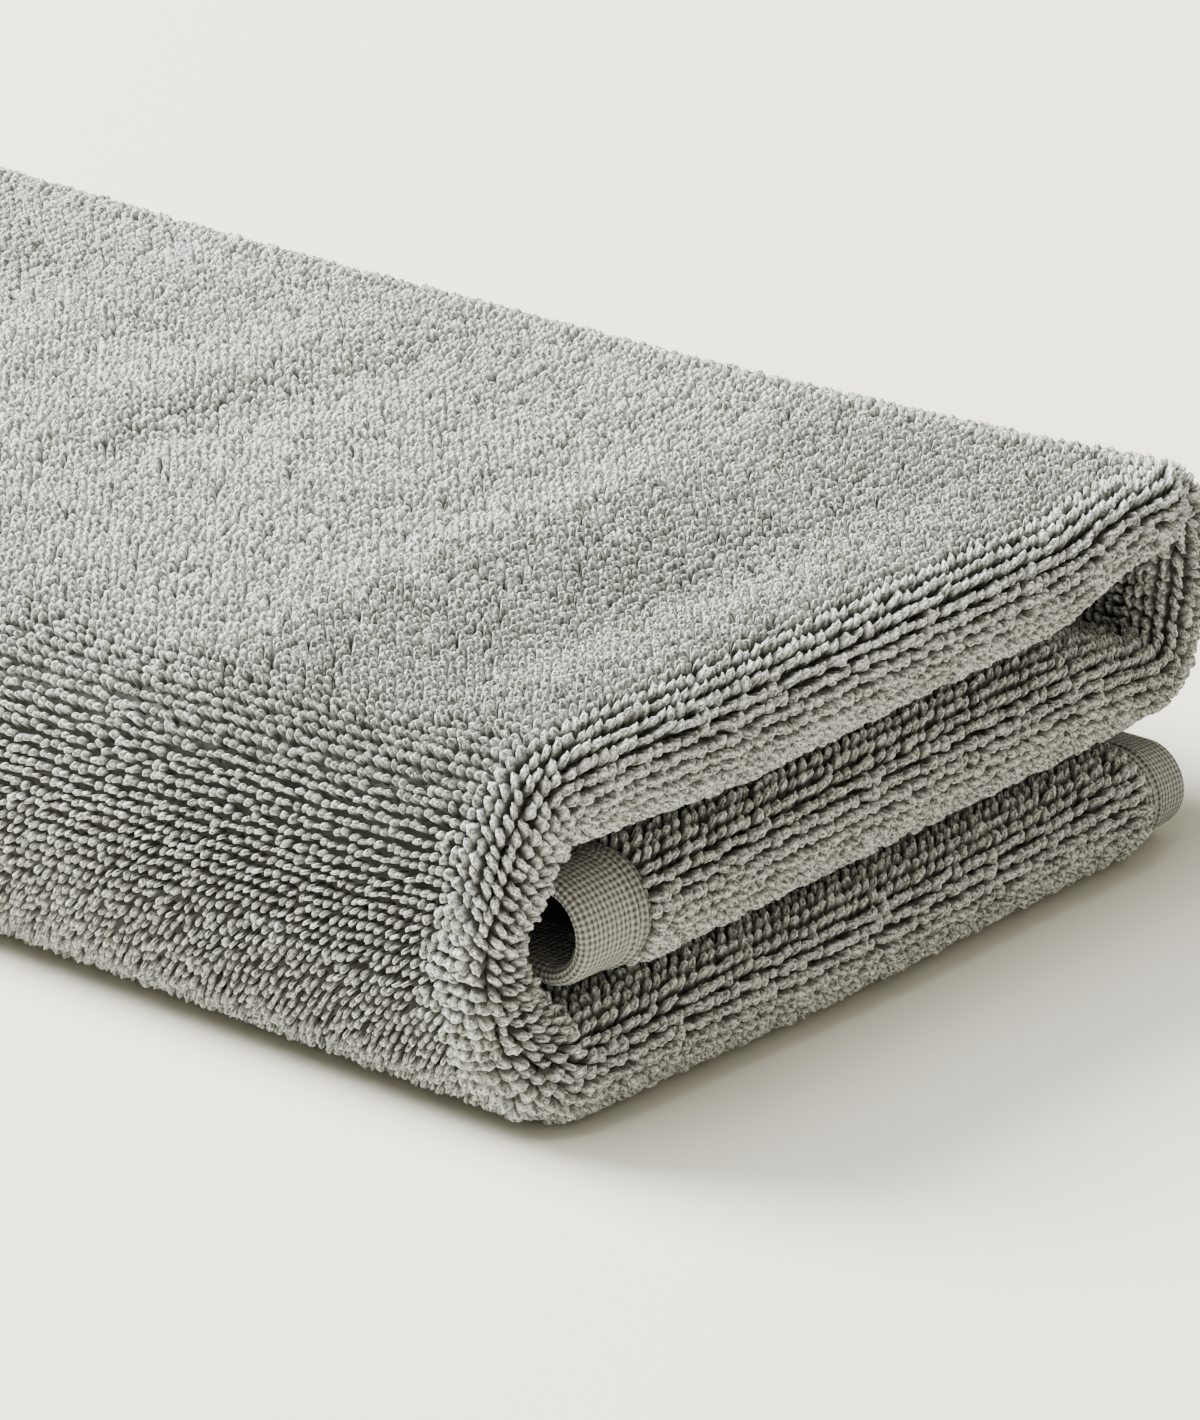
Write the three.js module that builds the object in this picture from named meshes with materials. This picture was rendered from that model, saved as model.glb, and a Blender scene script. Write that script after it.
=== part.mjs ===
import * as THREE from "three";

// A sports towel of looped terry in millimetres. It is folded in half over its length, so two
// plies lie on each other with a rounded fold at the front, and that double strip is folded
// in three across: a bottom layer, a wrap up the left side, a top layer, a wrap down the right
// side and a middle layer tucked into the left wrap. +Z is up, the rounded fold faces -Y, and
// the origin is on the surface that the towel lies on, under its middle.

// The cloth
const TERRY_PLY = 6.2; // one thickness of cloth with the loops of both its faces
const HEM_PLY = 2.4; // the flat woven hem, turned once and stitched
const HEM_WIDTH = { outer: 9, inner: 10 }; // what shows of the hem at the strip's two ends
const HEM_RECESS = 0.9; // how far the hem lies below the tips of the loops
const HEM_STEP = 1.4; // the length over which the loops end
const EDGE_ROUND = 0.8; // the last stretch of a cut edge, over which it rounds off

// The folded towel
const FOLDED_WIDTH = 133;
const FOLDED_LENGTH = 400;
const PLY_GAP = 0.35; // least room between two faces that lie on each other
const OUTER_END = 124; // where the bottom layer ends, from the left side
const INNER_END = 13.5; // where the middle layer ends inside the left wrap

// Half the thickness that each layer takes up: at the left and right end of the rounded fold,
// and far behind it
const LAYERS = {
  bottom: { left: 6.9, right: 7.6, far: 6.9 },
  middle: { left: 7.9, right: 8.5, far: 7.1 },
  top: { left: 8.5, right: 7.4, far: 7.1 },
};
const SETTLE = { reach: 66, power: 1.5 }; // how the strip thins out behind its rounded fold

// The outer face of the two wraps: how far it reaches across, and how square its bend is
const LEFT_WRAP = { across: 14.5, square: 2.4 };
const RIGHT_WRAP = { across: 12.5, square: 2.3 };

// The double strip along its course. A place counts the five legs: 0 to 1 is the bottom layer,
// 1 to 2 the left wrap, 2 to 3 the top, 3 to 4 the right wrap and 4 to 5 the middle. nose and
// far are half the strip's thickness at the rounded fold and behind it, and front is how far
// the fold stands back there from the foremost point.
const SECTIONS = [
  { place: 0.0, nose: 6.4, far: 5.6, front: 2.6 },
  { place: 0.12, nose: 7.1, far: 6.9, front: 1.0 },
  { place: 0.6, nose: 6.9, far: 6.9, front: 0.0 },
  { place: 0.9, nose: 6.9, far: 6.9, front: 0.8 },
  { place: 1.02, nose: 6.3, far: 6.9, front: 1.6 },
  { place: 1.14, nose: 6.5, far: 6.8, front: 2.4 },
  { place: 1.28, nose: 6.2, far: 6.4, front: 5.0 },
  { place: 1.38, nose: 5.5, far: 6.3, front: 5.2 },
  { place: 1.47, nose: 4.4, far: 6.3, front: 5.2 },
  { place: 1.62, nose: 6.1, far: 6.4, front: 3.8 },
  { place: 1.76, nose: 6.4, far: 6.6, front: 2.6 },
  { place: 2.0, nose: 7.5, far: 6.9, front: 1.2 },
  { place: 2.25, nose: 8.4, far: 7.1, front: 1.2 },
  { place: 2.76, nose: 7.7, far: 7.1, front: 1.2 },
  { place: 2.95, nose: 5.2, far: 6.9, front: 2.2 },
  { place: 3.12, nose: 3.9, far: 6.6, front: 4.8 },
  { place: 3.6, nose: 4.2, far: 6.3, front: 6.2 },
  { place: 3.95, nose: 4.6, far: 6.9, front: 5.0 },
  { place: 4.22, nose: 8.4, far: 7.1, front: 1.6 },
  { place: 4.85, nose: 7.9, far: 7.0, front: 1.4 },
  { place: 5.0, nose: 7.6, far: 5.4, front: 2.2 },
];

// Soft rises and troughs of the whole stack, as a share of its height
const WAVES = [
  { x: 60, y: 50, across: 60, along: 20, rise: -0.02 },
  { x: 78, y: 124, across: 42, along: 30, rise: 0.02 },
  { x: 34, y: 168, across: 34, along: 24, rise: -0.025 },
  { x: 100, y: 215, across: 46, along: 36, rise: 0.02 },
  { x: 50, y: 310, across: 60, along: 46, rise: -0.02 },
  { x: 2, y: 95, across: 16, along: 70, rise: -0.05 },
  { x: 2, y: 260, across: 16, along: 110, rise: -0.05 },
];

// Steps of the mesh
const LEG_STEPS = [8, 11, 10, 11, 9];
const NOSE_STEPS = 5; // a quarter of the rounded fold
const BACK_STEPS = 13;
const BACK_GROWTH = 1.18; // each step behind the fold is this much longer than the last

const TERRY_COLOR = 0xa9aaa5;

const mix = (from, to, share) => from + (to - from) * share;
const clamp = (value) => Math.min(Math.max(value, 0), 1);
const smooth = (share) => share * share * (3 - 2 * share);

// A column of the sections at a place, eased from one row to the next
function sectionAt(column, place) {
  const next = SECTIONS.findIndex((row) => row.place >= place);
  if (next <= 0) return SECTIONS[0][column];
  const before = SECTIONS[next - 1];
  const after = SECTIONS[next];
  const share = (place - before.place) / (after.place - before.place);
  return mix(before[column], after[column], smooth(share));
}

// How much of the rounded fold's own thickness is left at a distance behind its tip
function settle(behind) {
  return Math.exp(-Math.pow(Math.max(behind, 0) / SETTLE.reach, SETTLE.power));
}

// Half the strip's thickness at a place, and how that thins out with the depth y
function halfAt(place, y) {
  const behind = y - sectionAt("front", place);
  return mix(sectionAt("far", place), sectionAt("nose", place), settle(behind));
}

// The underside of the middle layer and the top of the stack, at a depth y and across x
function levelsAt(x, y) {
  const share = clamp(x / FOLDED_WIDTH);
  const full = (layer) => 2 * mix(layer.far, mix(layer.left, layer.right, share), settle(y));
  const middle = full(LAYERS.bottom) + PLY_GAP;
  return { middle, top: middle + full(LAYERS.middle) + PLY_GAP + full(LAYERS.top) };
}

// A point of a wrap at a depth below its outer face. Its bends are nested round one centre, so
// the plies never cross
function bendPoint(wrap, centerX, side, lower, upper, turn, below) {
  const angle = (turn - 0.5) * Math.PI;
  const across = Math.max(wrap.across - below, 0.05);
  const tall = Math.max((upper - lower) / 2 - below, 0.05);
  const power = 2 / wrap.square;
  const rise = Math.sign(Math.sin(angle)) * Math.pow(Math.abs(Math.sin(angle)), power);
  const reach = Math.pow(Math.abs(Math.cos(angle)), power);
  return { x: centerX + side * across * reach, z: (upper + lower) / 2 + tall * rise };
}

// A point of the double strip: a place on its course, a depth y and how far below the outer face
function stripPoint(place, y, below) {
  const leg = Math.min(Math.floor(place), 4);
  const share = place - leg;
  const leftX = LEFT_WRAP.across;
  const rightX = FOLDED_WIDTH - RIGHT_WRAP.across;
  if (leg === 0) return { x: mix(OUTER_END, leftX, share), z: below };
  if (leg === 1)
    return bendPoint(LEFT_WRAP, leftX, -1, 0, levelsAt(leftX, y).top, share, below);
  if (leg === 2) {
    const x = mix(leftX, rightX, share);
    return { x, z: levelsAt(x, y).top - below };
  }
  if (leg === 3) {
    const level = levelsAt(rightX, y);
    return bendPoint(RIGHT_WRAP, rightX, 1, level.middle, level.top, 1 - share, below);
  }
  const wrapInside = 2 * (halfAt(1.5, y) - halfAt(1.5, 0));
  const x = mix(rightX, INNER_END + Math.max(wrapInside, 0), share);
  return { x, z: levelsAt(x, y).middle + below };
}

// The soft rises and troughs at a point seen from above
function waveAt(x, y) {
  let rise = 0;
  for (const wave of WAVES) {
    const dx = (x - wave.x) / wave.across;
    const dy = (y - wave.y) / wave.along;
    rise += wave.rise * Math.exp(-dx * dx - dy * dy);
  }
  return rise;
}

// How far a place is from the nearer cut edge along the strip, and that edge's hem
function edgeAt(place) {
  if (place < 2.5)
    return { distance: place * (OUTER_END - LEFT_WRAP.across), hem: HEM_WIDTH.outer };
  const length = FOLDED_WIDTH - RIGHT_WRAP.across - INNER_END;
  return { distance: (5 - place) * length, hem: HEM_WIDTH.inner };
}

// The ply at a place: its thickness, and how far the flat hem lies below the loops' tips
function plyAt(place, half) {
  const edge = edgeAt(place);
  const flat = 1 - smooth(clamp((edge.distance - edge.hem) / HEM_STEP + 0.5));
  const round = mix(0.55, 1, clamp(edge.distance / EDGE_ROUND));
  const terry = Math.min(TERRY_PLY, half - PLY_GAP / 2);
  return { thick: mix(terry, HEM_PLY, flat) * round, recess: HEM_RECESS * flat };
}

// The steps of the doubled cloth from the fold's tip to the back edge: the nose as a quarter
// circle, then ever longer steps
function outlineSteps() {
  const steps = [];
  for (let i = 0; i <= NOSE_STEPS; i++) {
    const angle = (i / NOSE_STEPS) * (Math.PI / 2);
    steps.push({ lift: Math.sin(angle), back: 1 - Math.cos(angle), run: 0 });
  }
  const total = (BACK_GROWTH ** BACK_STEPS - 1) / (BACK_GROWTH - 1);
  let sum = 0;
  for (let i = 0; i < BACK_STEPS; i++) {
    sum += BACK_GROWTH ** i;
    steps.push({ lift: 1, back: 1, run: sum / total });
  }
  return steps;
}

// A point of the cloth's face: the steps count from the fold's tip, side is 1 on the ply that
// faces out and -1 on the other, and depth is how deep the face lies in the ply
function facePoint(place, step, side, depth) {
  const front = sectionAt("front", place);
  const nose = sectionAt("nose", place);
  const reach = (nose - depth) * (1 - step.back);
  const y = mix(front + nose - reach, FOLDED_LENGTH, step.run);
  const half = halfAt(place, y);
  const point = stripPoint(place, y, half - side * step.lift * (half - depth));
  const z = point.z * (1 + waveAt(point.x, y));
  return new THREE.Vector3(point.x - FOLDED_WIDTH / 2, y - FOLDED_LENGTH / 2, z);
}

// The ring of points around the doubled cloth at one place of its course: the outer face
// from the back edge over the fold and back again, then the inner face the other way
function ringAt(place) {
  const steps = outlineSteps();
  const outward = steps.slice(1).reverse();
  const face = (inner) => {
    const depthOf = (step) => {
      const center = sectionAt("front", place) + sectionAt("nose", place);
      const half = halfAt(place, mix(center, FOLDED_LENGTH, step.run));
      const ply = plyAt(place, half);
      return inner ? ply.recess + ply.thick : ply.recess;
    };
    const point = (side) => (step) => facePoint(place, step, side, depthOf(step));
    return [...outward.map(point(1)), ...steps.map(point(-1))];
  };
  return [...face(false), ...face(true).reverse()];
}

// A closed skin over the rings, with each end closed between the outer and the inner face
function skinOver(rings) {
  const count = rings[0].length;
  const positions = rings.flat().flatMap((point) => point.toArray());
  const index = [];
  for (let i = 0; i + 1 < rings.length; i++)
    for (let j = 0; j < count; j++) {
      const a = i * count + j;
      const b = i * count + ((j + 1) % count);
      index.push(a, b, a + count, b, b + count, a + count);
    }
  const last = (rings.length - 1) * count;
  for (let j = 0; j < count / 2 - 1; j++) {
    const k = count - 1 - j;
    index.push(j, k, j + 1, j + 1, k, k - 1);
    index.push(last + j, last + j + 1, last + k, last + j + 1, last + k - 1, last + k);
  }
  const geometry = new THREE.BufferGeometry();
  geometry.setAttribute("position", new THREE.Float32BufferAttribute(positions, 3));
  geometry.setIndex(index);
  geometry.computeVertexNormals();
  return geometry;
}

// The places of the rings: even steps in each leg, with closer ones at the two hems
function coursePlaces() {
  const legLength = [OUTER_END - LEFT_WRAP.across, FOLDED_WIDTH - RIGHT_WRAP.across - INNER_END];
  const hemSteps = (length, hem) =>
    [0, EDGE_ROUND, hem - HEM_STEP / 2, hem, hem + HEM_STEP / 2].map((at) => at / length);
  const outer = hemSteps(legLength[0], HEM_WIDTH.outer);
  const inner = hemSteps(legLength[1], HEM_WIDTH.inner).map((at) => 5 - at);
  const places = [...outer, ...inner];
  LEG_STEPS.forEach((count, leg) => {
    for (let i = 0; i < count; i++) {
      const place = leg + i / count;
      if (place > outer[4] + 0.03 && place < inner[4] - 0.03) places.push(place);
    }
  });
  return places.sort((a, b) => a - b);
}

function makeTowel() {
  const material = new THREE.MeshStandardMaterial({
    color: TERRY_COLOR,
    roughness: 0.95,
    metalness: 0,
  });
  const mesh = new THREE.Mesh(skinOver(coursePlaces().map(ringAt)), material);
  mesh.name = "towel";
  return mesh;
}

const group = new THREE.Group();
group.add(makeTowel());

export default group;
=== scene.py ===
import math

import bmesh
import bpy
import numpy as np
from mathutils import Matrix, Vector


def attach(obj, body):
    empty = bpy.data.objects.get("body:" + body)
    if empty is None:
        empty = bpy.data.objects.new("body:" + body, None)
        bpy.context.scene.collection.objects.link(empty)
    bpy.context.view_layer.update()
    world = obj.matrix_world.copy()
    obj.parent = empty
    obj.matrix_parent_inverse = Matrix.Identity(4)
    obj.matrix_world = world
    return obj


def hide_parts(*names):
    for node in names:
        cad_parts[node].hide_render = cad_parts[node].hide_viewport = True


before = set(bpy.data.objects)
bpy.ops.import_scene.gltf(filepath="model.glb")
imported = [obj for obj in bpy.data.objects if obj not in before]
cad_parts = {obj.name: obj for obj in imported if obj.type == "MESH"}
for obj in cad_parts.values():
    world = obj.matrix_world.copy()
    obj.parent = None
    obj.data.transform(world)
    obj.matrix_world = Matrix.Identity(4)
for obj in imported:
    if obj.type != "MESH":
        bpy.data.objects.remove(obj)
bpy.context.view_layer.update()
scene = bpy.context.scene
mm = 0.001
rng = np.random.default_rng(40)


# Camera, lights and the pale table

view = {
    "place": (-0.62227, -0.69328, 0.34769),
    "azimuth": -49.02,
    "elevation": 21.53,
    "lens": 191.0,
}


def makeCamera():
    data = bpy.data.cameras.new("camera")
    data.lens = view["lens"]
    data.clip_start, data.clip_end = 0.02, 30
    camera = bpy.data.objects.new("camera", data)
    scene.collection.objects.link(camera)
    azimuth, elevation = math.radians(view["azimuth"]), math.radians(view["elevation"])
    back = Vector((
        math.sin(azimuth) * math.cos(elevation),
        -math.cos(azimuth) * math.cos(elevation),
        math.sin(elevation),
    ))
    camera.location = view["place"]
    camera.rotation_mode = "QUATERNION"
    camera.rotation_quaternion = (-back).to_track_quat("-Z", "Y")
    scene.camera = camera


makeCamera()
print("camera set")

studio = {
    "air": 0.68,  # the soft light that comes from all round
    "airColour": (1.0, 0.95, 0.78),
    "floor": (0.745, 0.733, 0.65),
    "lamps": [
        # what it is, where it hangs, what it looks at, width, depth, watts, colour
        ("window", (-0.42, 1.36, 1.38), (0.0, 0.0, 0.0), 1.0, 1.0, 200, (1.0, 0.995, 0.965)),
        ("overhead", (-0.45, 0.35, 1.9), (0.0, 0.0, 0.0), 1.4, 1.4, 56, (1.0, 0.997, 0.985)),
    ],
}


def makeLamp(name, place, target, width, depth, watts, colour):
    data = bpy.data.lights.new(name, "AREA")
    data.shape = "RECTANGLE"
    data.size, data.size_y = width, depth
    data.energy = watts
    data.color = colour
    lamp = bpy.data.objects.new(name, data)
    scene.collection.objects.link(lamp)
    lamp.location = place
    lamp.rotation_mode = "QUATERNION"
    lamp.rotation_quaternion = (Vector(target) - Vector(place)).to_track_quat("-Z", "Y")


def makeStudio():
    for lamp in studio["lamps"]:
        makeLamp(*lamp)
    world = bpy.data.worlds.new("studio air")
    world.use_nodes = True
    air = world.node_tree.nodes["Background"]
    air.inputs["Color"].default_value = (*studio["airColour"], 1)
    air.inputs["Strength"].default_value = studio["air"]
    scene.world = world
    mat = bpy.data.materials.new("table paper")
    mat.use_nodes = True
    shader = mat.node_tree.nodes["Principled BSDF"]
    shader.inputs["Base Color"].default_value = (*studio["floor"], 1)
    shader.inputs["Roughness"].default_value = 0.9
    shader.inputs["Specular IOR Level"].default_value = 0.1
    bm = bmesh.new()
    bmesh.ops.create_circle(bm, cap_ends=True, segments=64, radius=6)
    mesh = bpy.data.meshes.new("table")
    bm.to_mesh(mesh)
    bm.free()
    mesh.materials.append(mat)
    table = bpy.data.objects.new("table", mesh)
    scene.collection.objects.link(table)


makeStudio()
print("studio lit")


# How the cloth is folded, all in millimetres, from the left end and the front of the towel

fold = {
    "width": 133,
    "length": 400,
    "gap": 0.35,  # least room between faces that lie on each other
    "outerEnd": 124,  # where the bottom layer ends
    "innerEnd": 13.5,  # where the middle layer ends inside the left wrap
    "settleReach": 66,
    "settlePower": 1.5,
}

layers = {
    "bottom": {"left": 6.9, "right": 7.6, "far": 6.9},
    "middle": {"left": 7.9, "right": 8.5, "far": 7.1},
    "top": {"left": 8.5, "right": 7.4, "far": 7.1},
}

leftWrap = {"across": 14.5, "square": 2.4}
rightWrap = {"across": 12.5, "square": 2.3}

# Places count the five legs of the course: bottom layer, left wrap, top, right wrap, middle
sections = [
    {"place": 0.0, "nose": 6.4, "far": 5.6, "front": 2.6},
    {"place": 0.12, "nose": 7.1, "far": 6.9, "front": 1.0},
    {"place": 0.6, "nose": 6.9, "far": 6.9, "front": 0.0},
    {"place": 0.9, "nose": 6.9, "far": 6.9, "front": 0.8},
    {"place": 1.02, "nose": 6.3, "far": 6.9, "front": 1.6},
    {"place": 1.14, "nose": 6.5, "far": 6.8, "front": 2.4},
    {"place": 1.28, "nose": 6.2, "far": 6.4, "front": 5.0},
    {"place": 1.38, "nose": 5.5, "far": 6.3, "front": 5.2},
    {"place": 1.47, "nose": 4.4, "far": 6.3, "front": 5.2},
    {"place": 1.62, "nose": 6.1, "far": 6.4, "front": 3.8},
    {"place": 1.76, "nose": 6.4, "far": 6.6, "front": 2.6},
    {"place": 2.0, "nose": 7.5, "far": 6.9, "front": 1.2},
    {"place": 2.25, "nose": 8.4, "far": 7.1, "front": 1.2},
    {"place": 2.76, "nose": 7.7, "far": 7.1, "front": 1.2},
    {"place": 2.95, "nose": 5.2, "far": 6.9, "front": 2.2},
    {"place": 3.12, "nose": 3.9, "far": 6.6, "front": 4.8},
    {"place": 3.6, "nose": 4.2, "far": 6.3, "front": 6.2},
    {"place": 3.95, "nose": 4.6, "far": 6.9, "front": 5.0},
    {"place": 4.22, "nose": 8.4, "far": 7.1, "front": 1.6},
    {"place": 4.85, "nose": 7.9, "far": 7.0, "front": 1.4},
    {"place": 5.0, "nose": 7.6, "far": 5.4, "front": 2.2},
]

waves = [
    {"x": 60, "y": 50, "across": 60, "along": 20, "rise": -0.02},
    {"x": 78, "y": 124, "across": 42, "along": 30, "rise": 0.02},
    {"x": 34, "y": 168, "across": 34, "along": 24, "rise": -0.025},
    {"x": 100, "y": 215, "across": 46, "along": 36, "rise": 0.02},
    {"x": 50, "y": 310, "across": 60, "along": 46, "rise": -0.02},
    {"x": 2, "y": 95, "across": 16, "along": 70, "rise": -0.05},
    {"x": 2, "y": 260, "across": 16, "along": 110, "rise": -0.05},
]

# Smaller troughs and ridges of the top
creases = [
    {"x": 58, "y": 13, "across": 56, "along": 9, "rise": 0.016},
    {"x": 57, "y": 28.5, "across": 43, "along": 10, "rise": -0.06},
    {"x": 30, "y": 52, "across": 30, "along": 9, "rise": 0.012},
    {"x": 62, "y": 55, "across": 40, "along": 9, "rise": 0.026},
    {"x": 66, "y": 66, "across": 34, "along": 7, "rise": -0.022},
    {"x": 48, "y": 84, "across": 30, "along": 9, "rise": 0.012},
    {"x": 84, "y": 86, "across": 26, "along": 8, "rise": -0.018},
    {"x": 82, "y": 108, "across": 26, "along": 7, "rise": -0.026},
    {"x": 60, "y": 113, "across": 18, "along": 5, "rise": -0.02},
    {"x": 76, "y": 122, "across": 30, "along": 7, "rise": 0.022},
    {"x": 84, "y": 140, "across": 30, "along": 9, "rise": -0.016},
    {"x": 70, "y": 150, "across": 30, "along": 8, "rise": 0.014},
    {"x": 84, "y": 168, "across": 26, "along": 8, "rise": -0.022},
    {"x": 90, "y": 184, "across": 24, "along": 7, "rise": 0.012},
    {"x": 60, "y": 205, "across": 30, "along": 9, "rise": -0.02},
    {"x": 76, "y": 252, "across": 34, "along": 10, "rise": -0.018},
    {"x": 44, "y": 276, "across": 26, "along": 8, "rise": 0.014},
    {"x": 84, "y": 318, "across": 28, "along": 9, "rise": -0.018},
    {"x": 64, "y": 352, "across": 34, "along": 9, "rise": 0.014},
]


def mix(low, high, share):
    return low + (high - low) * share


def smooth(share):
    share = np.clip(share, 0, 1)
    return share * share * (3 - 2 * share)


def sectionAt(column, place):
    places = np.array([row["place"] for row in sections])
    values = np.array([row[column] for row in sections])
    after = np.clip(np.searchsorted(places, place), 1, len(places) - 1)
    share = (place - places[after - 1]) / (places[after] - places[after - 1])
    return mix(values[after - 1], values[after], smooth(share))


def settle(behind):
    return np.exp(-(np.maximum(behind, 0) / fold["settleReach"]) ** fold["settlePower"])


def halfAt(place, y):
    return mix(sectionAt("far", place), sectionAt("nose", place), settle(y - sectionAt("front", place)))


def levelsAt(x, y):
    share = np.clip(x / fold["width"], 0, 1)
    left = settle(y)

    def full(layer):
        return 2 * mix(layer["far"], mix(layer["left"], layer["right"], share), left)

    middle = full(layers["bottom"]) + fold["gap"]
    return middle, middle + full(layers["middle"]) + fold["gap"] + full(layers["top"])


def bendPoint(wrap, centreX, way, lower, upper, turn, below):
    angle = (turn - 0.5) * math.pi
    across = np.maximum(wrap["across"] - below, 0.05)
    tall = np.maximum((upper - lower) / 2 - below, 0.05)
    power = 2 / wrap["square"]
    rise = np.sign(np.sin(angle)) * np.abs(np.sin(angle)) ** power
    reach = np.abs(np.cos(angle)) ** power
    return centreX + way * across * reach, (upper + lower) / 2 + tall * rise


def stripPoint(place, y, below):
    leg = np.minimum(np.floor(place), 4).astype(int)
    share = place - leg
    leftX = leftWrap["across"] + 0 * y
    rightX = fold["width"] - rightWrap["across"] + 0 * y
    bottomX = mix(fold["outerEnd"], leftX, share)
    topX = mix(leftX, rightX, share)
    inside = 2 * (halfAt(1.5 + 0 * place, y) - halfAt(1.5 + 0 * place, 0 * y))
    middleX = mix(rightX, fold["innerEnd"] + np.maximum(inside, 0), share)
    leftBend = bendPoint(leftWrap, leftX, -1, 0, levelsAt(leftX, y)[1], share, below)
    lower, upper = levelsAt(rightX, y)
    rightBend = bendPoint(rightWrap, rightX, 1, lower, upper, 1 - share, below)
    x = np.choose(leg, [bottomX, leftBend[0], topX, rightBend[0], middleX])
    z = np.choose(leg, [
        below + 0 * y,
        leftBend[1],
        levelsAt(topX, y)[1] - below,
        rightBend[1],
        levelsAt(middleX, y)[0] + below,
    ])
    return x, z


def waveAt(x, y):
    rise = 0 * x
    for wave in waves + creases:
        dx, dy = (x - wave["x"]) / wave["across"], (y - wave["y"]) / wave["along"]
        rise = rise + wave["rise"] * np.exp(-dx * dx - dy * dy)
    return rise


# A point of one ply: its place on the course, the distance y behind the front, the side of the
# doubled strip (1 is the ply that faces out), how deep it lies below the tips of the loops, and
# how far round the fold it is (lift 1 is past the fold)
def plyPoint(place, y, side, depth, lift=1.0):
    half = halfAt(place, y)
    x, z = stripPoint(place, y, half - side * lift * (half - depth))
    z = z * (1 + waveAt(x, y))
    return np.stack([x - fold["width"] / 2, y - fold["length"] / 2, z], -1)


# The cloth in its thickness
terry = {
    "ply": 6.2,
    "groundDepth": 2.4,  # from the tips of the loops down to the woven ground
    "groundThick": 1.4,
    "rowDepth": 1.3,  # where the rows of loops are spaced
}


# The same, with the distance along the rows from the tip of the fold
def arcPoint(place, arc, side, depth):
    front, nose = sectionAt("front", place), sectionAt("nose", place)
    radius = nose - terry["rowDepth"]
    turn = np.minimum(arc / radius, math.pi / 2)
    behind = np.maximum(arc - radius * math.pi / 2, 0)
    y = front + nose - (nose - depth) * np.cos(turn) + behind
    return plyPoint(place, y, side, depth, np.sin(turn))


def arcAtBack(place, y):
    nose = sectionAt("nose", place)
    return (nose - terry["rowDepth"]) * math.pi / 2 + y - sectionAt("front", place) - nose


# Distance along the course from the nearer cut edge, and that edge's hem
hems = {
    "outer": {"width": 9.0},
    "inner": {"width": 10.0},
}
hemCloth = {"thick": 2.4, "recess": 0.9, "pitchAcross": 0.70, "pitchAlong": 0.84}
legLength = {
    "outer": fold["outerEnd"] - leftWrap["across"],
    "inner": fold["width"] - rightWrap["across"] - fold["innerEnd"],
}


def edgeAt(place):
    outer = place < 2.5
    distance = np.where(outer, place * legLength["outer"], (5 - place) * legLength["inner"])
    return distance, np.where(outer, hems["outer"]["width"], hems["inner"]["width"])


# Small tools for meshes

def addPiece(name, mesh, material):
    mesh.materials.append(material)
    piece = bpy.data.objects.new(name, mesh)
    scene.collection.objects.link(piece)
    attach(piece, "root")
    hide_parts("towel")
    return piece


def smoothMesh(bm, name):
    mesh = bpy.data.meshes.new(name)
    for face in bm.faces:
        face.smooth = True
    bm.to_mesh(mesh)
    bm.free()
    return mesh


# Finishes

cotton = {
    # root is painted shade: the dark colour low on each loop and on the ground, where shade falls
    # between the loops
    "root": (0.10, 0.10, 0.088),
    # dark is the dark end of the fibres' own tone on the loops, and the lighter end of the ground's
    # painted shade
    "dark": (0.135, 0.138, 0.126),
    "light": (0.88, 0.9, 0.855),
    "strands": 4,  # of the yarn, seen round a loop
    "twist": 9.0,
    "hemDark": (0.07, 0.068, 0.06),
    "hemLight": (0.48, 0.472, 0.446),
    "patchScale": 34.0,  # soft patches of shade, and fibres, for each metre
    "fibreScale": 3600.0,
    "groundScale": 2600.0,
    "hemFibreScale": 3000.0,
    "roughness": 0.92,
    "specular": 0.18,
    "sheen": 0.25,
    "sheenRoughness": 0.45,
}


class NodeBench:
    def __init__(self, name):
        self.material = bpy.data.materials.new(name)
        self.material.use_nodes = True
        self.tree = self.material.node_tree
        self.shader = self.tree.nodes["Principled BSDF"]

    def add(self, kind, inputs=None, **settings):
        node = self.tree.nodes.new(kind)
        for key, value in settings.items():
            setattr(node, key, value)
        for key, value in (inputs or {}).items():
            if isinstance(value, bpy.types.NodeSocket):
                self.tree.links.new(value, node.inputs[key])
            else:
                node.inputs[key].default_value = value
        return node

    def sum(self, operation, first, second, clamp=False):
        node = self.add("ShaderNodeMath", {0: first, 1: second}, operation=operation, use_clamp=clamp)
        return node.outputs[0]

    def blend(self, share, low, high):
        node = self.add("ShaderNodeMix", {"Factor": share}, data_type="RGBA")
        for key, value in ((6, low), (7, high)):
            if isinstance(value, bpy.types.NodeSocket):
                self.tree.links.new(value, node.inputs[key])
            else:
                node.inputs[key].default_value = (*value, 1)
        return node.outputs[2]

    def finish(self, colour, height, strength, distance):
        self.tree.links.new(colour, self.shader.inputs["Base Color"])
        bump = self.add(
            "ShaderNodeBump", {"Height": height, "Strength": strength, "Distance": distance}
        )
        self.tree.links.new(bump.outputs[0], self.shader.inputs["Normal"])
        self.shader.inputs["Roughness"].default_value = cotton["roughness"]
        self.shader.inputs["Specular IOR Level"].default_value = cotton["specular"]
        self.shader.inputs["Sheen Weight"].default_value = cotton["sheen"]
        self.shader.inputs["Sheen Roughness"].default_value = cotton["sheenRoughness"]
        return self.material
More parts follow.
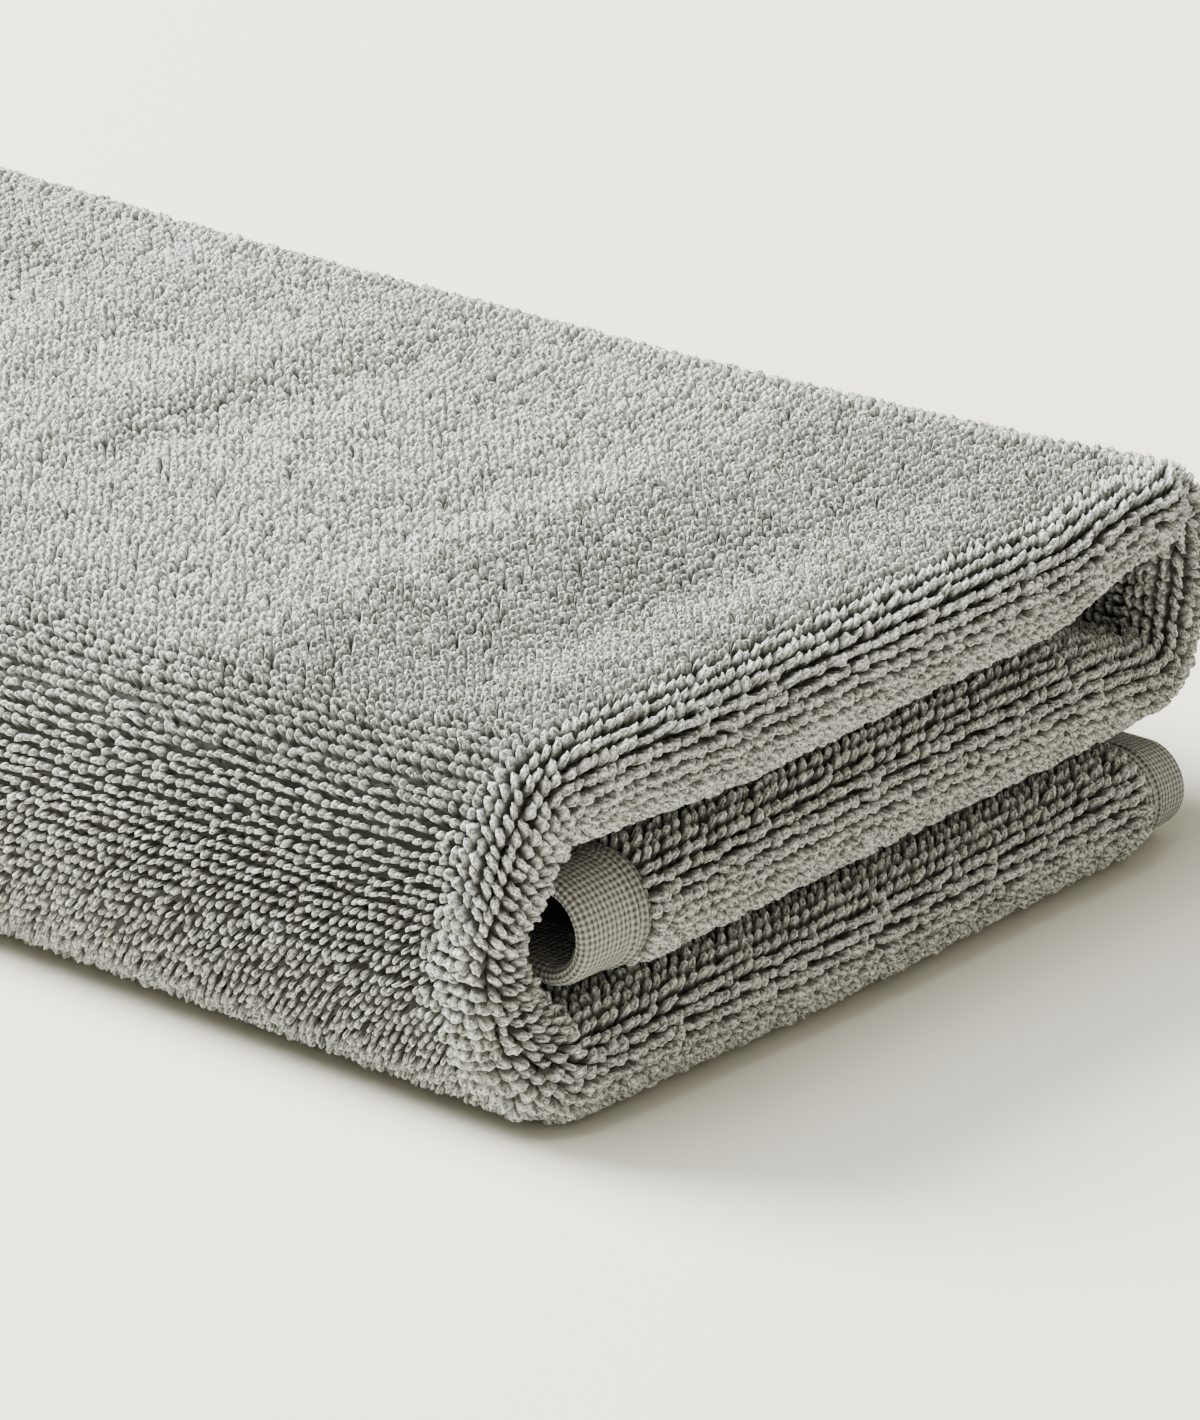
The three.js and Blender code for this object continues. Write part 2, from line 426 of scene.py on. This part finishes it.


# Cotton loops: tint is each loop's own shade, rise is the height on it and sets the painted shade
# that darkens each loop towards its root, and the map yarn goes round it and up it
def makeLoopCotton():
    bench = NodeBench("terry loops")
    where = bench.add("ShaderNodeTexCoord").outputs["Object"]
    tint = bench.add("ShaderNodeAttribute", attribute_name="tint").outputs["Fac"]
    rise = bench.add("ShaderNodeAttribute", attribute_name="rise").outputs["Fac"]
    yarn = bench.add("ShaderNodeUVMap", uv_map="yarn").outputs[0]
    split = bench.add("ShaderNodeSeparateXYZ", {"Vector": yarn})
    patches = bench.add(
        "ShaderNodeTexNoise",
        {"Vector": where, "Scale": cotton["patchScale"], "Detail": 3.0},
    )
    fibres = bench.add(
        "ShaderNodeTexNoise",
        {"Vector": where, "Scale": cotton["fibreScale"], "Detail": 2.0},
    )
    aroundLoop = bench.sum("MULTIPLY", split.outputs["X"], 2 * math.pi * cotton["strands"])
    phase = bench.sum("ADD", aroundLoop, bench.sum("MULTIPLY", split.outputs["Y"], cotton["twist"]))
    strand = bench.add("ShaderNodeMath", {0: phase}, operation="SINE").outputs[0]
    share = bench.sum("MULTIPLY", tint, 0.3)
    share = bench.sum("ADD", share, bench.sum("MULTIPLY", patches.outputs["Fac"], 0.3))
    share = bench.sum("ADD", share, bench.sum("MULTIPLY", strand, 0.3))
    share = bench.sum("ADD", share, bench.sum("MULTIPLY", fibres.outputs["Fac"], 2.6))
    share = bench.sum("SUBTRACT", share, 1.1, True)
    colour = bench.blend(share, cotton["dark"], cotton["light"])
    # painted shade: below the tips each loop is blended towards the dark root colour, for the shade
    # that falls between the loops
    tip = bench.add(
        "ShaderNodeMapRange", {"Value": rise, "From Min": 0.45, "From Max": 0.95},
        interpolation_type="SMOOTHSTEP",
    ).outputs[0]
    colour = bench.blend(tip, cotton["root"], colour)
    height = bench.sum("ADD", fibres.outputs["Fac"], bench.sum("MULTIPLY", strand, 0.35))
    return bench.finish(colour, height, 0.9, 0.0003)


# The woven ground between the loops, coloured in painted shade: the dark root colour of the shade that
# falls between the loops
def makeGroundShadeCotton():
    bench = NodeBench("terry ground in painted shade")
    where = bench.add("ShaderNodeTexCoord").outputs["Object"]
    weave = bench.add(
        "ShaderNodeTexNoise",
        {"Vector": where, "Scale": cotton["groundScale"], "Detail": 2.0},
    )
    colour = bench.blend(weave.outputs["Fac"], cotton["root"], cotton["dark"])
    return bench.finish(colour, weave.outputs["Fac"], 0.5, 0.0002)


# The hem's plain weave, on its own map in metres
def makeHemCotton():
    bench = NodeBench("hem weave")
    where = bench.add("ShaderNodeUVMap", uv_map="weave").outputs[0]
    split = bench.add("ShaderNodeSeparateXYZ", {"Vector": where})
    across = bench.sum("MULTIPLY", split.outputs["X"], 2 * math.pi / (hemCloth["pitchAcross"] * mm))
    along = bench.sum("MULTIPLY", split.outputs["Y"], 2 * math.pi / (hemCloth["pitchAlong"] * mm))
    waveX = bench.add("ShaderNodeMath", {0: across}, operation="SINE").outputs[0]
    waveY = bench.add("ShaderNodeMath", {0: along}, operation="SINE").outputs[0]
    threads = bench.sum("ADD", waveX, bench.sum("MULTIPLY", waveY, 0.7))
    place = bench.add("ShaderNodeTexCoord").outputs["Object"]
    fibres = bench.add(
        "ShaderNodeTexNoise",
        {"Vector": place, "Scale": cotton["hemFibreScale"], "Detail": 2.0},
    )
    share = bench.sum("MULTIPLY", threads, 0.38)
    share = bench.sum("ADD", share, bench.sum("MULTIPLY", fibres.outputs["Fac"], 1.1), True)
    colour = bench.blend(share, cotton["hemDark"], cotton["hemLight"])
    return bench.finish(colour, threads, 1.0, 0.00014)


loopCotton = makeLoopCotton()
groundShadeCotton = makeGroundShadeCotton()
hemCotton = makeHemCotton()
print("finishes mixed")


# The woven ground of the towel, one sheet folded along the course

ground = {
    "courseSteps": 118,
    "noseSteps": 6,
    "runSteps": 18,
    "growth": 1.12,
    "backInset": 3.1,
    "underHem": 2.0,
}


def groundDepthAt(place):
    distance, hem = edgeAt(place)
    middle = terry["groundDepth"] + terry["groundThick"] / 2
    hemMiddle = hemCloth["recess"] + hemCloth["thick"] / 2
    return mix(hemMiddle, middle, smooth((distance - hem) / 4 + 0.5))


# A number of its own for each face, from its lowest and highest corner
def faceRank(face):
    numbers = [vertex.index for vertex in face.verts]
    return min(numbers) * 100000 + max(numbers)


def makeGround():
    runs = np.cumsum(ground["growth"] ** np.arange(ground["runSteps"]))
    runs = runs / runs[-1]
    turns = np.linspace(0, 1, ground["noseSteps"] + 1) * math.pi / 2
    halfWay = len(turns) + len(runs) - 1
    bm = bmesh.new()
    bmesh.ops.create_grid(bm, x_segments=ground["courseSteps"], y_segments=2 * halfWay, size=1)
    bm.verts.ensure_lookup_table()
    flat = np.array([vertex.co[:] for vertex in bm.verts])
    under = {end: (hems[end]["width"] - ground["underHem"]) / legLength[end] for end in hems}
    place = mix(under["outer"], 5 - under["inner"], (flat[:, 0] + 1) / 2)
    step = np.rint(flat[:, 1] * halfWay).astype(int)
    side = np.where(step >= 0, 1, -1)
    step = np.abs(step)
    turn = turns[np.minimum(step, len(turns) - 1)]
    run = np.concatenate([[0] * len(turns), runs])[step]
    depth = groundDepthAt(place)
    front, nose = sectionAt("front", place), sectionAt("nose", place)
    y = front + nose - (nose - depth) * np.cos(turn)
    y = mix(y, fold["length"] - ground["backInset"], run)
    points = plyPoint(place, y, side, depth, np.sin(turn)) * mm
    for vertex, point in zip(bm.verts, points):
        vertex.co = point
    bmesh.ops.recalc_face_normals(bm, faces=bm.faces)
    bmesh.ops.solidify(bm, geom=bm.faces[:], thickness=terry["groundThick"] / 2 * mm)
    bmesh.ops.recalc_face_normals(bm, faces=bm.faces)
    bm.verts.index_update()
    bm.faces.sort(key=faceRank)  # solidifying leaves the rim in no fixed order
    return addPiece("cloth_ground", smoothMesh(bm, "cloth ground"), groundShadeCotton)


clothGround = makeGround()
print("ground woven")


# One loop of yarn, standing on the ground with its tip at z 1 and the loop's width at 1. It
# starts as a sphere without its lower cap, and each ring takes a row of the profile

loopForms = {
    "strand": {
        "sides": 8, "groove": 0.13, "coil": 1.6,
        "profile": [(0.1, 1.6), (0.5, 1.35), (0.8, 1.05), (0.95, 0.75), (1.0, 0)],
    },
    "fine": {
        "sides": 6, "groove": 0.1, "coil": 1.2,
        "profile": [(0.1, 0.95), (0.5, 0.88), (0.8, 1.0), (0.94, 0.72), (1.0, 0)],
    },
    "small": {"sides": 5, "groove": 0, "coil": 0.6, "profile": [(0.35, 1.2), (0.84, 0.96), (1.0, 0)]},
    "far": {"sides": 4, "groove": 0, "coil": 0, "profile": [(0.4, 1.25), (0.84, 1.05), (1.0, 0)]},
    "hidden": {"sides": 4, "groove": 0, "coil": 0, "profile": [(0.7, 1.22), (1.0, 0)]},
}


# The map goes once round the loop in u and up it in v
def makeLoopForm(form):
    profile = form["profile"]
    bm = bmesh.new()
    bmesh.ops.create_uvsphere(
        bm, u_segments=form["sides"], v_segments=len(profile), radius=1
    )
    bm.verts.ensure_lookup_table()
    levels = sorted({round(vertex.co.z, 4) for vertex in bm.verts})
    lowest = [vertex for vertex in bm.verts if round(vertex.co.z, 4) == levels[0]]
    bmesh.ops.delete(bm, geom=lowest, context="VERTS")
    for vertex in bm.verts:
        row = levels.index(round(vertex.co.z, 4)) - 1
        height, width = profile[row]
        turn = math.atan2(vertex.co.y, vertex.co.x)
        column = round(turn / (2 * math.pi) * form["sides"])
        reach = width / 2 * (1 + form["groove"] * (-1) ** column)
        turn += form["coil"] * height
        vertex.co = Vector((reach * math.cos(turn), reach * math.sin(turn), height))
    bmesh.ops.triangulate(bm, faces=bm.faces[:])
    bm.verts.index_update()
    corners = np.array([vertex.co[:] for vertex in bm.verts])
    faces = np.array([[vertex.index for vertex in face.verts] for face in bm.faces])
    bm.free()
    # triangulating leaves the faces in no fixed order, so they are sorted
    first = faces.argmin(1)[:, None]
    faces = np.take_along_axis(faces, (first + [0, 1, 2]) % 3, 1)
    faces = faces[np.lexsort(faces.T[::-1])]
    xy = corners[faces][:, :, :2]
    turns = np.arctan2(xy[:, :, 1], xy[:, :, 0]) / (2 * math.pi)
    atTip = np.hypot(xy[:, :, 0], xy[:, :, 1]) < 1e-6
    lowestTurn = np.where(atTip, 9, turns).min(1)[:, None]
    turns = np.where(turns - lowestTurn > 0.5, turns - 1, turns)
    others = np.where(atTip, 0, turns).sum(1)[:, None] / (~atTip).sum(1)[:, None]
    turns = np.where(atTip, others, turns)
    yarnMap = np.stack([turns, corners[faces][:, :, 2]], -1)
    return corners, faces, yarnMap


# The rows of loops

pile = {
    "pitchAcross": 1.42,  # along a row
    "pitchAlong": 1.33,  # from row to row
    "heightSpread": 0.07,
    "tipRise": 0.15,  # how far the tips stand out of the towel's face
    "twist": 1.1,  # how far a loop turns over its height
    "jitter": 0.12,
    "rowJitter": 0.10,
    "comb": 0.12,  # how far the loops lean along their row
    "fuzz": 0.05,  # how uneven the yarn is
    "nudge": 0.004,  # a short step along the course, to find its direction
    "foldAcross": 1.1,  # how much further apart the loops stand round the fold
    "foldAlong": 1.1,
    "hiddenPitch": 1.5,  # how much further apart they stand on the underside
    "rim": {"place": 1.4, "reach": 0.3, "turn": 24},  # where the fold's loops are turned more
    "turnFrom": 4,  # from here on, the fold's kind of loop gives way to the face's
    "turnOver": 10,  # and over this distance it has done so
    "sizeSpread": 0.07,
    "shade": (0.5, 0.22),  # the middle and the spread of the loops' own shades
    "leanShares": (1, 0.6),  # how much of the uneven lean goes along and across the row
    "rooted": 0.15,  # how deep a loop's root sits in the ground
    "tipLimits": (-0.4, 0.6),  # the highest and the lowest that a tip may lie
    "hemRoom": 0.3,  # between the last loop and the hem
    "tableRoom": 0.02,  # between the lowest loops and the table
}

# How the loops of a stretch look from above: their size along and across the row, how far they
# are turned from it in degrees, how unevenly they are turned and lean, how far they lean in
# bunches, and how much lighter than the painted root shade they are low down, between the tips
loopKinds = {
    "fold": {
        "form": "strand", "long": 1.66, "wide": 0.76, "turn": 48, "turnSpread": 15,
        "lean": 0.12, "bunch": 0.7, "rootShadeLift": 0.1,
    },
    "near": {
        "form": "fine", "long": 1.18, "wide": 0.56, "turn": -18, "turnSpread": 18,
        "lean": 0.10, "bunch": 0.5, "rootShadeLift": 0.15,
    },
    "middle": {
        "form": "small", "long": 1.24, "wide": 0.74, "turn": -20, "turnSpread": 22,
        "lean": 0.12, "bunch": 0.8, "rootShadeLift": 0.1,
    },
    "back": {
        "form": "far", "long": 1.3, "wide": 0.92, "turn": -40, "turnSpread": 24,
        "lean": 0.14, "bunch": 1.0, "rootShadeLift": 0.1,
    },
    "between": {
        "form": "small", "long": 1.5, "wide": 0.78, "turn": 50, "turnSpread": 14,
        "lean": 0.12, "bunch": 0.7, "rootShadeLift": 0.15,
    },
    "under": {
        "form": "hidden", "long": 2.1, "wide": 2.0, "turn": 0, "turnSpread": 20,
        "lean": 0.10, "bunch": 0, "rootShadeLift": 0,
    },
}

# Where the loops lean together and apart: wave length, heading and start of each wave
bunches = {
    "waves": 7, "shortest": 3.6, "longest": 9, "lean": 0.13,
    "legEnds": [0, 110, 165, 271, 300, 407],  # distance along the course
}
bunchWaves = [
    (
        rng.uniform(bunches["shortest"], bunches["longest"]),
        rng.uniform(0, math.pi),
        rng.uniform(0, 2 * math.pi),
    )
    for _ in range(bunches["waves"])
]


def bunchAt(place, arc):
    run = np.interp(place, [0, 1, 2, 3, 4, 5], bunches["legEnds"])
    lean = np.zeros((len(place), 2))
    for length, heading, start in bunchWaves:
        way = np.array([math.cos(heading), math.sin(heading)])
        phase = (run * way[0] + arc * way[1]) * 2 * math.pi / length + start
        lean += bunches["lean"] * np.sin(phase)[:, None] * way
    return lean


# The loops of one row: places on the course, evenly spaced along the row's own curve
def rowPlaces(arc, side, pitch):
    course = np.linspace(0, 5, 1201)
    curve = arcPoint(course, np.full_like(course, arc), side, terry["rowDepth"])
    length = np.concatenate([[0], np.cumsum(np.linalg.norm(np.diff(curve, axis=0), axis=1))])
    anchor = np.interp(1.5, course, length)
    numbers = np.arange(math.ceil(-anchor / pitch), math.floor((length[-1] - anchor) / pitch) + 1)
    at = anchor + numbers * pitch + rng.normal(0, pile["jitter"], len(numbers))
    place = np.interp(at, length, course)
    distance, hem = edgeAt(place)
    return place[distance > hem + pile["hemRoom"]]


# All rows of one side of the cloth from the tip of the fold to a distance behind it
def gatherLoops(side, fromArc, toArc, widerAcross=1.0, widerAlong=1.0):
    places, arcs = [], []
    rowPitch = pile["pitchAlong"] * widerAlong
    for arc in np.arange(fromArc + rowPitch / 2, toArc, rowPitch):
        place = rowPlaces(arc, side, pile["pitchAcross"] * widerAcross)
        places.append(place)
        arcs.append(arc + rng.normal(0, pile["rowJitter"], len(place)))
    place, arc = np.concatenate(places), np.concatenate(arcs)
    kept = (arc > 0) & (arc < arcAtBack(place, fold["length"] - ground["backInset"]))
    return place[kept], arc[kept]


def standLoops(kind, base, tip, across, bunch):
    corners, faces, yarnMap = makeLoopForm(loopForms[kind["form"]])
    count = len(base)
    up = tip - base
    height = np.linalg.norm(up, axis=1, keepdims=True)
    up = up / height
    across = across - up * np.sum(across * up, axis=1, keepdims=True)
    across = across / np.linalg.norm(across, axis=1, keepdims=True)
    along = np.cross(up, across)
    loose, bunched = (np.broadcast_to(kind[key], count)[:, None] for key in ("lean", "bunch"))
    lean = rng.normal(0, 1, (count, 2)) * loose * pile["leanShares"]
    lean = lean + (pile["comb"], 0) + bunch * bunched
    spin = rng.uniform(0, 2 * math.pi / loopForms[kind["form"]]["sides"], count)
    turn = np.radians(rng.normal(kind["turn"], kind["turnSpread"], count))
    long, wide = (np.broadcast_to(kind[key], count)[:, None] for key in ("long", "wide"))
    size = rng.normal(1, pile["sizeSpread"], count)[:, None]

    def turned(x, y, angle):
        return x * np.cos(angle) - y * np.sin(angle), x * np.sin(angle) + y * np.cos(angle)

    x, y = turned(corners[:, 0], corners[:, 1], spin[:, None])
    z = corners[:, 2]
    twist = turn[:, None] - pile["twist"] * (1 - z)
    x, y = turned(x * long * size, y * wide * size, twist)
    x = x + lean[:, :1] * z * z
    y = y + lean[:, 1:] * z * z
    points = (
        base[:, None, :]
        + x[:, :, None] * across[:, None, :]
        + y[:, :, None] * along[:, None, :]
        + (z * height)[:, :, None] * up[:, None, :]
    )
    points = points + rng.normal(0, pile["fuzz"], points.shape)
    tint = np.repeat(np.clip(rng.normal(*pile["shade"], count), 0, 1), len(corners))
    # rise carries the painted shade: the lower on a loop, the nearer its colour to the dark root shade
    rise = mix(z, 1, np.broadcast_to(kind["rootShadeLift"], count)[:, None]).ravel()
    index = (faces[None, :, :] + (np.arange(count) * len(corners))[:, None, None]).reshape(-1, 3)
    return points.reshape(-1, 3), index, tint, rise, np.tile(yarnMap.reshape(-1, 2), (count, 1))


# Several batches of loops joined in one mesh
def joinLoops(name, batches):
    used = 0
    indices = []
    for batch in batches:
        indices.append(batch[1] + used)
        used += len(batch[0])
    points, _, tint, rise, yarnMap = (np.concatenate(parts) for parts in zip(*batches))
    index = np.concatenate(indices)
    points[:, 2] = np.maximum(points[:, 2], pile["tableRoom"])
    mesh = bpy.data.meshes.new(name)
    mesh.vertices.add(len(points))
    mesh.vertices.foreach_set("co", (points * mm).astype(np.float32).ravel())
    mesh.loops.add(index.size)
    mesh.loops.foreach_set("vertex_index", index.astype(np.int32).ravel())
    mesh.polygons.add(len(index))
    mesh.polygons.foreach_set("loop_start", np.arange(0, index.size, 3, dtype=np.int32))
    mesh.polygons.foreach_set("use_smooth", np.ones(len(index), bool))
    for key, values in (("tint", tint), ("rise", rise)):
        mesh.attributes.new(key, "FLOAT", "POINT")
        mesh.attributes[key].data.foreach_set("value", values.astype(np.float32))
    mesh.uv_layers.new(name="yarn")
    mesh.uv_layers["yarn"].data.foreach_set("uv", yarnMap.astype(np.float32).ravel())
    mesh.update(calc_edges=True)
    mesh.validate()
    print(name, len(index), "triangles")
    return addPiece(name, mesh, loopCotton)


# Loops that stand on the cloth's faces, round the fold and behind it
def arcBatch(kind, side, place, arc):
    height = rng.normal(1.0, pile["heightSpread"], len(place))
    tipDepth = terry["groundDepth"] * (1 - height) - pile["tipRise"]
    tipDepth = np.clip(tipDepth, *pile["tipLimits"])
    base = arcPoint(place, arc, side, terry["groundDepth"] + pile["rooted"])
    tip = arcPoint(place, arc, side, tipDepth)
    ahead = arcPoint(np.minimum(place + pile["nudge"], 5), arc, side, terry["rowDepth"])
    across = ahead - arcPoint(place - pile["nudge"], arc, side, terry["rowDepth"])
    away = smooth((arc - pile["turnFrom"]) / pile["turnOver"])
    rounded, flat = loopKinds["fold"], loopKinds[kind]
    shape = {key: mix(rounded[key], flat[key], away) for key in flat if key != "form"}
    rim = np.exp(-((place - pile["rim"]["place"]) / pile["rim"]["reach"]) ** 2)
    shape["turn"] = shape["turn"] + pile["rim"]["turn"] * (1 - away) * rim
    # at the rim the loops keep the full painted shade at their roots
    shape["rootShadeLift"] = shape["rootShadeLift"] * (1 - rim)
    return standLoops({"form": flat["form"], **shape}, base, tip, across, bunchAt(place, arc))


# Loops round the plain turned edges at the back: the turn of each row in degrees, how unevenly
# the loops keep to it, the arc that spaces them and how far the tips stay inside the ply
backEdge = {"rows": (-60, -20, 20, 60), "spread": 3, "arc": 300.0, "inside": 0.1}


def backBatch(side):
    places, angles = [], []
    for angle in backEdge["rows"]:
        place = rowPlaces(backEdge["arc"], side, pile["pitchAcross"])
        places.append(place)
        angles.append(np.radians(angle + rng.normal(0, backEdge["spread"], len(place))))
    place, angle = np.concatenate(places), np.concatenate(angles)
    middle = terry["ply"] / 2
    edge = fold["length"] - ground["backInset"]

    def ring(radius):
        return plyPoint(place, edge + radius * np.cos(angle), side, middle - radius * np.sin(angle))

    base = ring(terry["groundThick"] / 2)
    tip = ring(middle - backEdge["inside"])
    across = plyPoint(place + pile["nudge"], edge + 0 * place, side, middle) - ring(0)
    return standLoops(loopKinds["middle"], base, tip, across, bunchAt(place, angle))


zones = {
    "nose": 6,  # how many rows stand round the fold
    "crevice": 22,  # how far in between the layers loops are still seen
    "cavity": 46,  # how far they are seen inside the right wrap
    "near": 58,  # where each kind of loop on the face ends
    "middle": 160,
    "back": 285,
    "pastBack": 40,  # rows are laid out to beyond the back edge
    "fade": 14,  # the width over which one kind of loop gives way to the next
    # places on the course
    "underEnd": 0.98,
    "rightFrom": 3.02,
    "insideFrom": 3.92,
    "cavityFrom": 3,
    "cavityTo": 4.1,
}


def makePile():
    nose = zones["nose"] * pile["pitchAlong"] * pile["foldAlong"]
    pastBack = fold["length"] + zones["pastBack"]
    for side, name in ((1, "loops_fold_outside"), (-1, "loops_fold_inside")):
        place, arc = gatherLoops(side, 0, nose, pile["foldAcross"], pile["foldAlong"])
        joinLoops(name, [arcBatch("fold", side, place, arc)])

    place, arc = gatherLoops(-1, nose, zones["cavity"])
    cavity = (place > zones["cavityFrom"]) & (place < zones["cavityTo"])
    seen = (arc < zones["crevice"]) | cavity
    inner = arcBatch("between", -1, place[seen], arc[seen])

    place, arc = gatherLoops(1, nose, pastBack)
    border = arc + rng.normal(0, zones["fade"] / 2, len(arc))
    hidden = (place < zones["underEnd"]) | (place > zones["insideFrom"])
    right = (place >= zones["rightFrom"]) & ~hidden
    shown = ~hidden & ~right
    deep = hidden & (arc < zones["crevice"])
    joinLoops("loops_between", [inner, arcBatch("between", 1, place[deep], arc[deep])])
    joinLoops("loops_right_wrap", [arcBatch("back", 1, place[right], arc[right])])
    start = -99
    for name, end, kind in (
        ("near", zones["near"], "near"), ("middle", zones["middle"], "middle"),
        ("back", zones["back"], "back"), ("rear", 999, "back"),
    ):
        part = shown & (border >= start) & (border < end)
        joinLoops("loops_" + name, [arcBatch(kind, 1, place[part], arc[part])])
        start = end

    place, arc = gatherLoops(1, zones["crevice"], pastBack, pile["hiddenPitch"], pile["hiddenPitch"])
    under = place < zones["underEnd"]
    joinLoops("loops_underside", [arcBatch("under", 1, place[under], arc[under])])
    joinLoops("loops_back_edges", [backBatch(1), backBatch(-1)])


makePile()
print("loops raised")


# The flat hems at the two ends of the strip: the section runs from the terry over the outer
# face, round the turned edge and back, as distance and depth below the loops. On the terry's
# side and the underside the distance counts from where the terry starts, at the edge from the
# cut edge

hemShape = {
    "terrySide": [
        (0.9, 1.9), (0.75, 1.4), (0.35, 1.15), (0.0, 1.2), (-0.3, 0.78), (-0.75, 0.55), (-1.2, 0.78),
        (-1.45, 1.25), (-1.7, 0.8), (-2.1, 0.58), (-2.5, 0.82), (-2.8, 1.02),
    ],
    "edge": [
        (1.4, 0.92), (0.6, 1.1), (0.15, 1.55), (0.0, 2.1), (0.15, 2.65), (0.6, 3.1), (1.4, 3.3),
    ],
    "flatDepth": 0.93,
    "flatShares": (0.25, 0.5, 0.75),
    "underSide": [(-1.0, 3.3), (0.6, 3.25), (0.9, 2.9)],
    "noseSteps": 10,
    "runSteps": 22,
    "growth": 1.12,
    "weaveRound": 7.0,  # how far the weave's map runs for each radian of the fold
    "weaveLong": 380.0,  # and behind it
    "backInset": 0.4,
}


def hemSection(width):
    start = [(width + distance, depth) for distance, depth in hemShape["terrySide"]]
    flatEnd = hemShape["edge"][0][0]
    flat = [
        (mix(start[-1][0], flatEnd, share), hemShape["flatDepth"])
        for share in hemShape["flatShares"]
    ]
    under = [(width + distance, depth) for distance, depth in hemShape["underSide"]]
    return np.array(start + flat + hemShape["edge"] + under + [start[0]])


def makeHem(name, end):
    section = hemSection(hems[end]["width"])
    runs = np.cumsum(hemShape["growth"] ** np.arange(hemShape["runSteps"]))
    runs = runs / runs[-1]
    turns = np.linspace(0, 1, hemShape["noseSteps"] + 1) * math.pi / 2
    halfWay = len(turns) + len(runs) - 1
    bm = bmesh.new()
    bmesh.ops.create_grid(bm, x_segments=len(section) - 1, y_segments=2 * halfWay, size=1)
    flat = np.array([vertex.co[:] for vertex in bm.verts])
    column = np.rint((flat[:, 0] + 1) / 2 * (len(section) - 1)).astype(int)
    step = np.rint(flat[:, 1] * halfWay).astype(int)
    side = np.where(step >= 0, 1, -1)
    row = np.abs(step)
    distance, depth = section[column].T
    place = distance / legLength[end] if end == "outer" else 5 - distance / legLength[end]
    turn = turns[np.minimum(row, len(turns) - 1)]
    run = np.concatenate([[0] * len(turns), runs])[row]
    front, nose = sectionAt("front", place), sectionAt("nose", place)
    y = front + nose - (nose - depth) * np.cos(turn)
    y = mix(y, fold["length"] - hemShape["backInset"], run)
    points = plyPoint(place, y, side, depth, np.sin(turn))
    acrossHem = np.concatenate([[0], np.cumsum(np.linalg.norm(np.diff(section, axis=0), axis=1))])
    alongHem = side * (turn * hemShape["weaveRound"] + run * hemShape["weaveLong"])
    cover = bm.loops.layers.uv.new("weave")
    bm.verts.index_update()
    for face in bm.faces:
        for corner in face.loops:
            number = corner.vert.index
            corner[cover].uv = (acrossHem[column[number]] * mm, alongHem[number] * mm)
    for vertex, point in zip(bm.verts, points):
        vertex.co = point * mm
    bmesh.ops.remove_doubles(bm, verts=bm.verts[:], dist=1e-6)
    bmesh.ops.holes_fill(bm, edges=[edge for edge in bm.edges if edge.is_boundary], sides=0)
    bmesh.ops.recalc_face_normals(bm, faces=bm.faces[:])
    return addPiece(name, smoothMesh(bm, name), hemCotton)


hemPieces = [makeHem("hem_outer", "outer"), makeHem("hem_inner", "inner")]
print("hems turned")
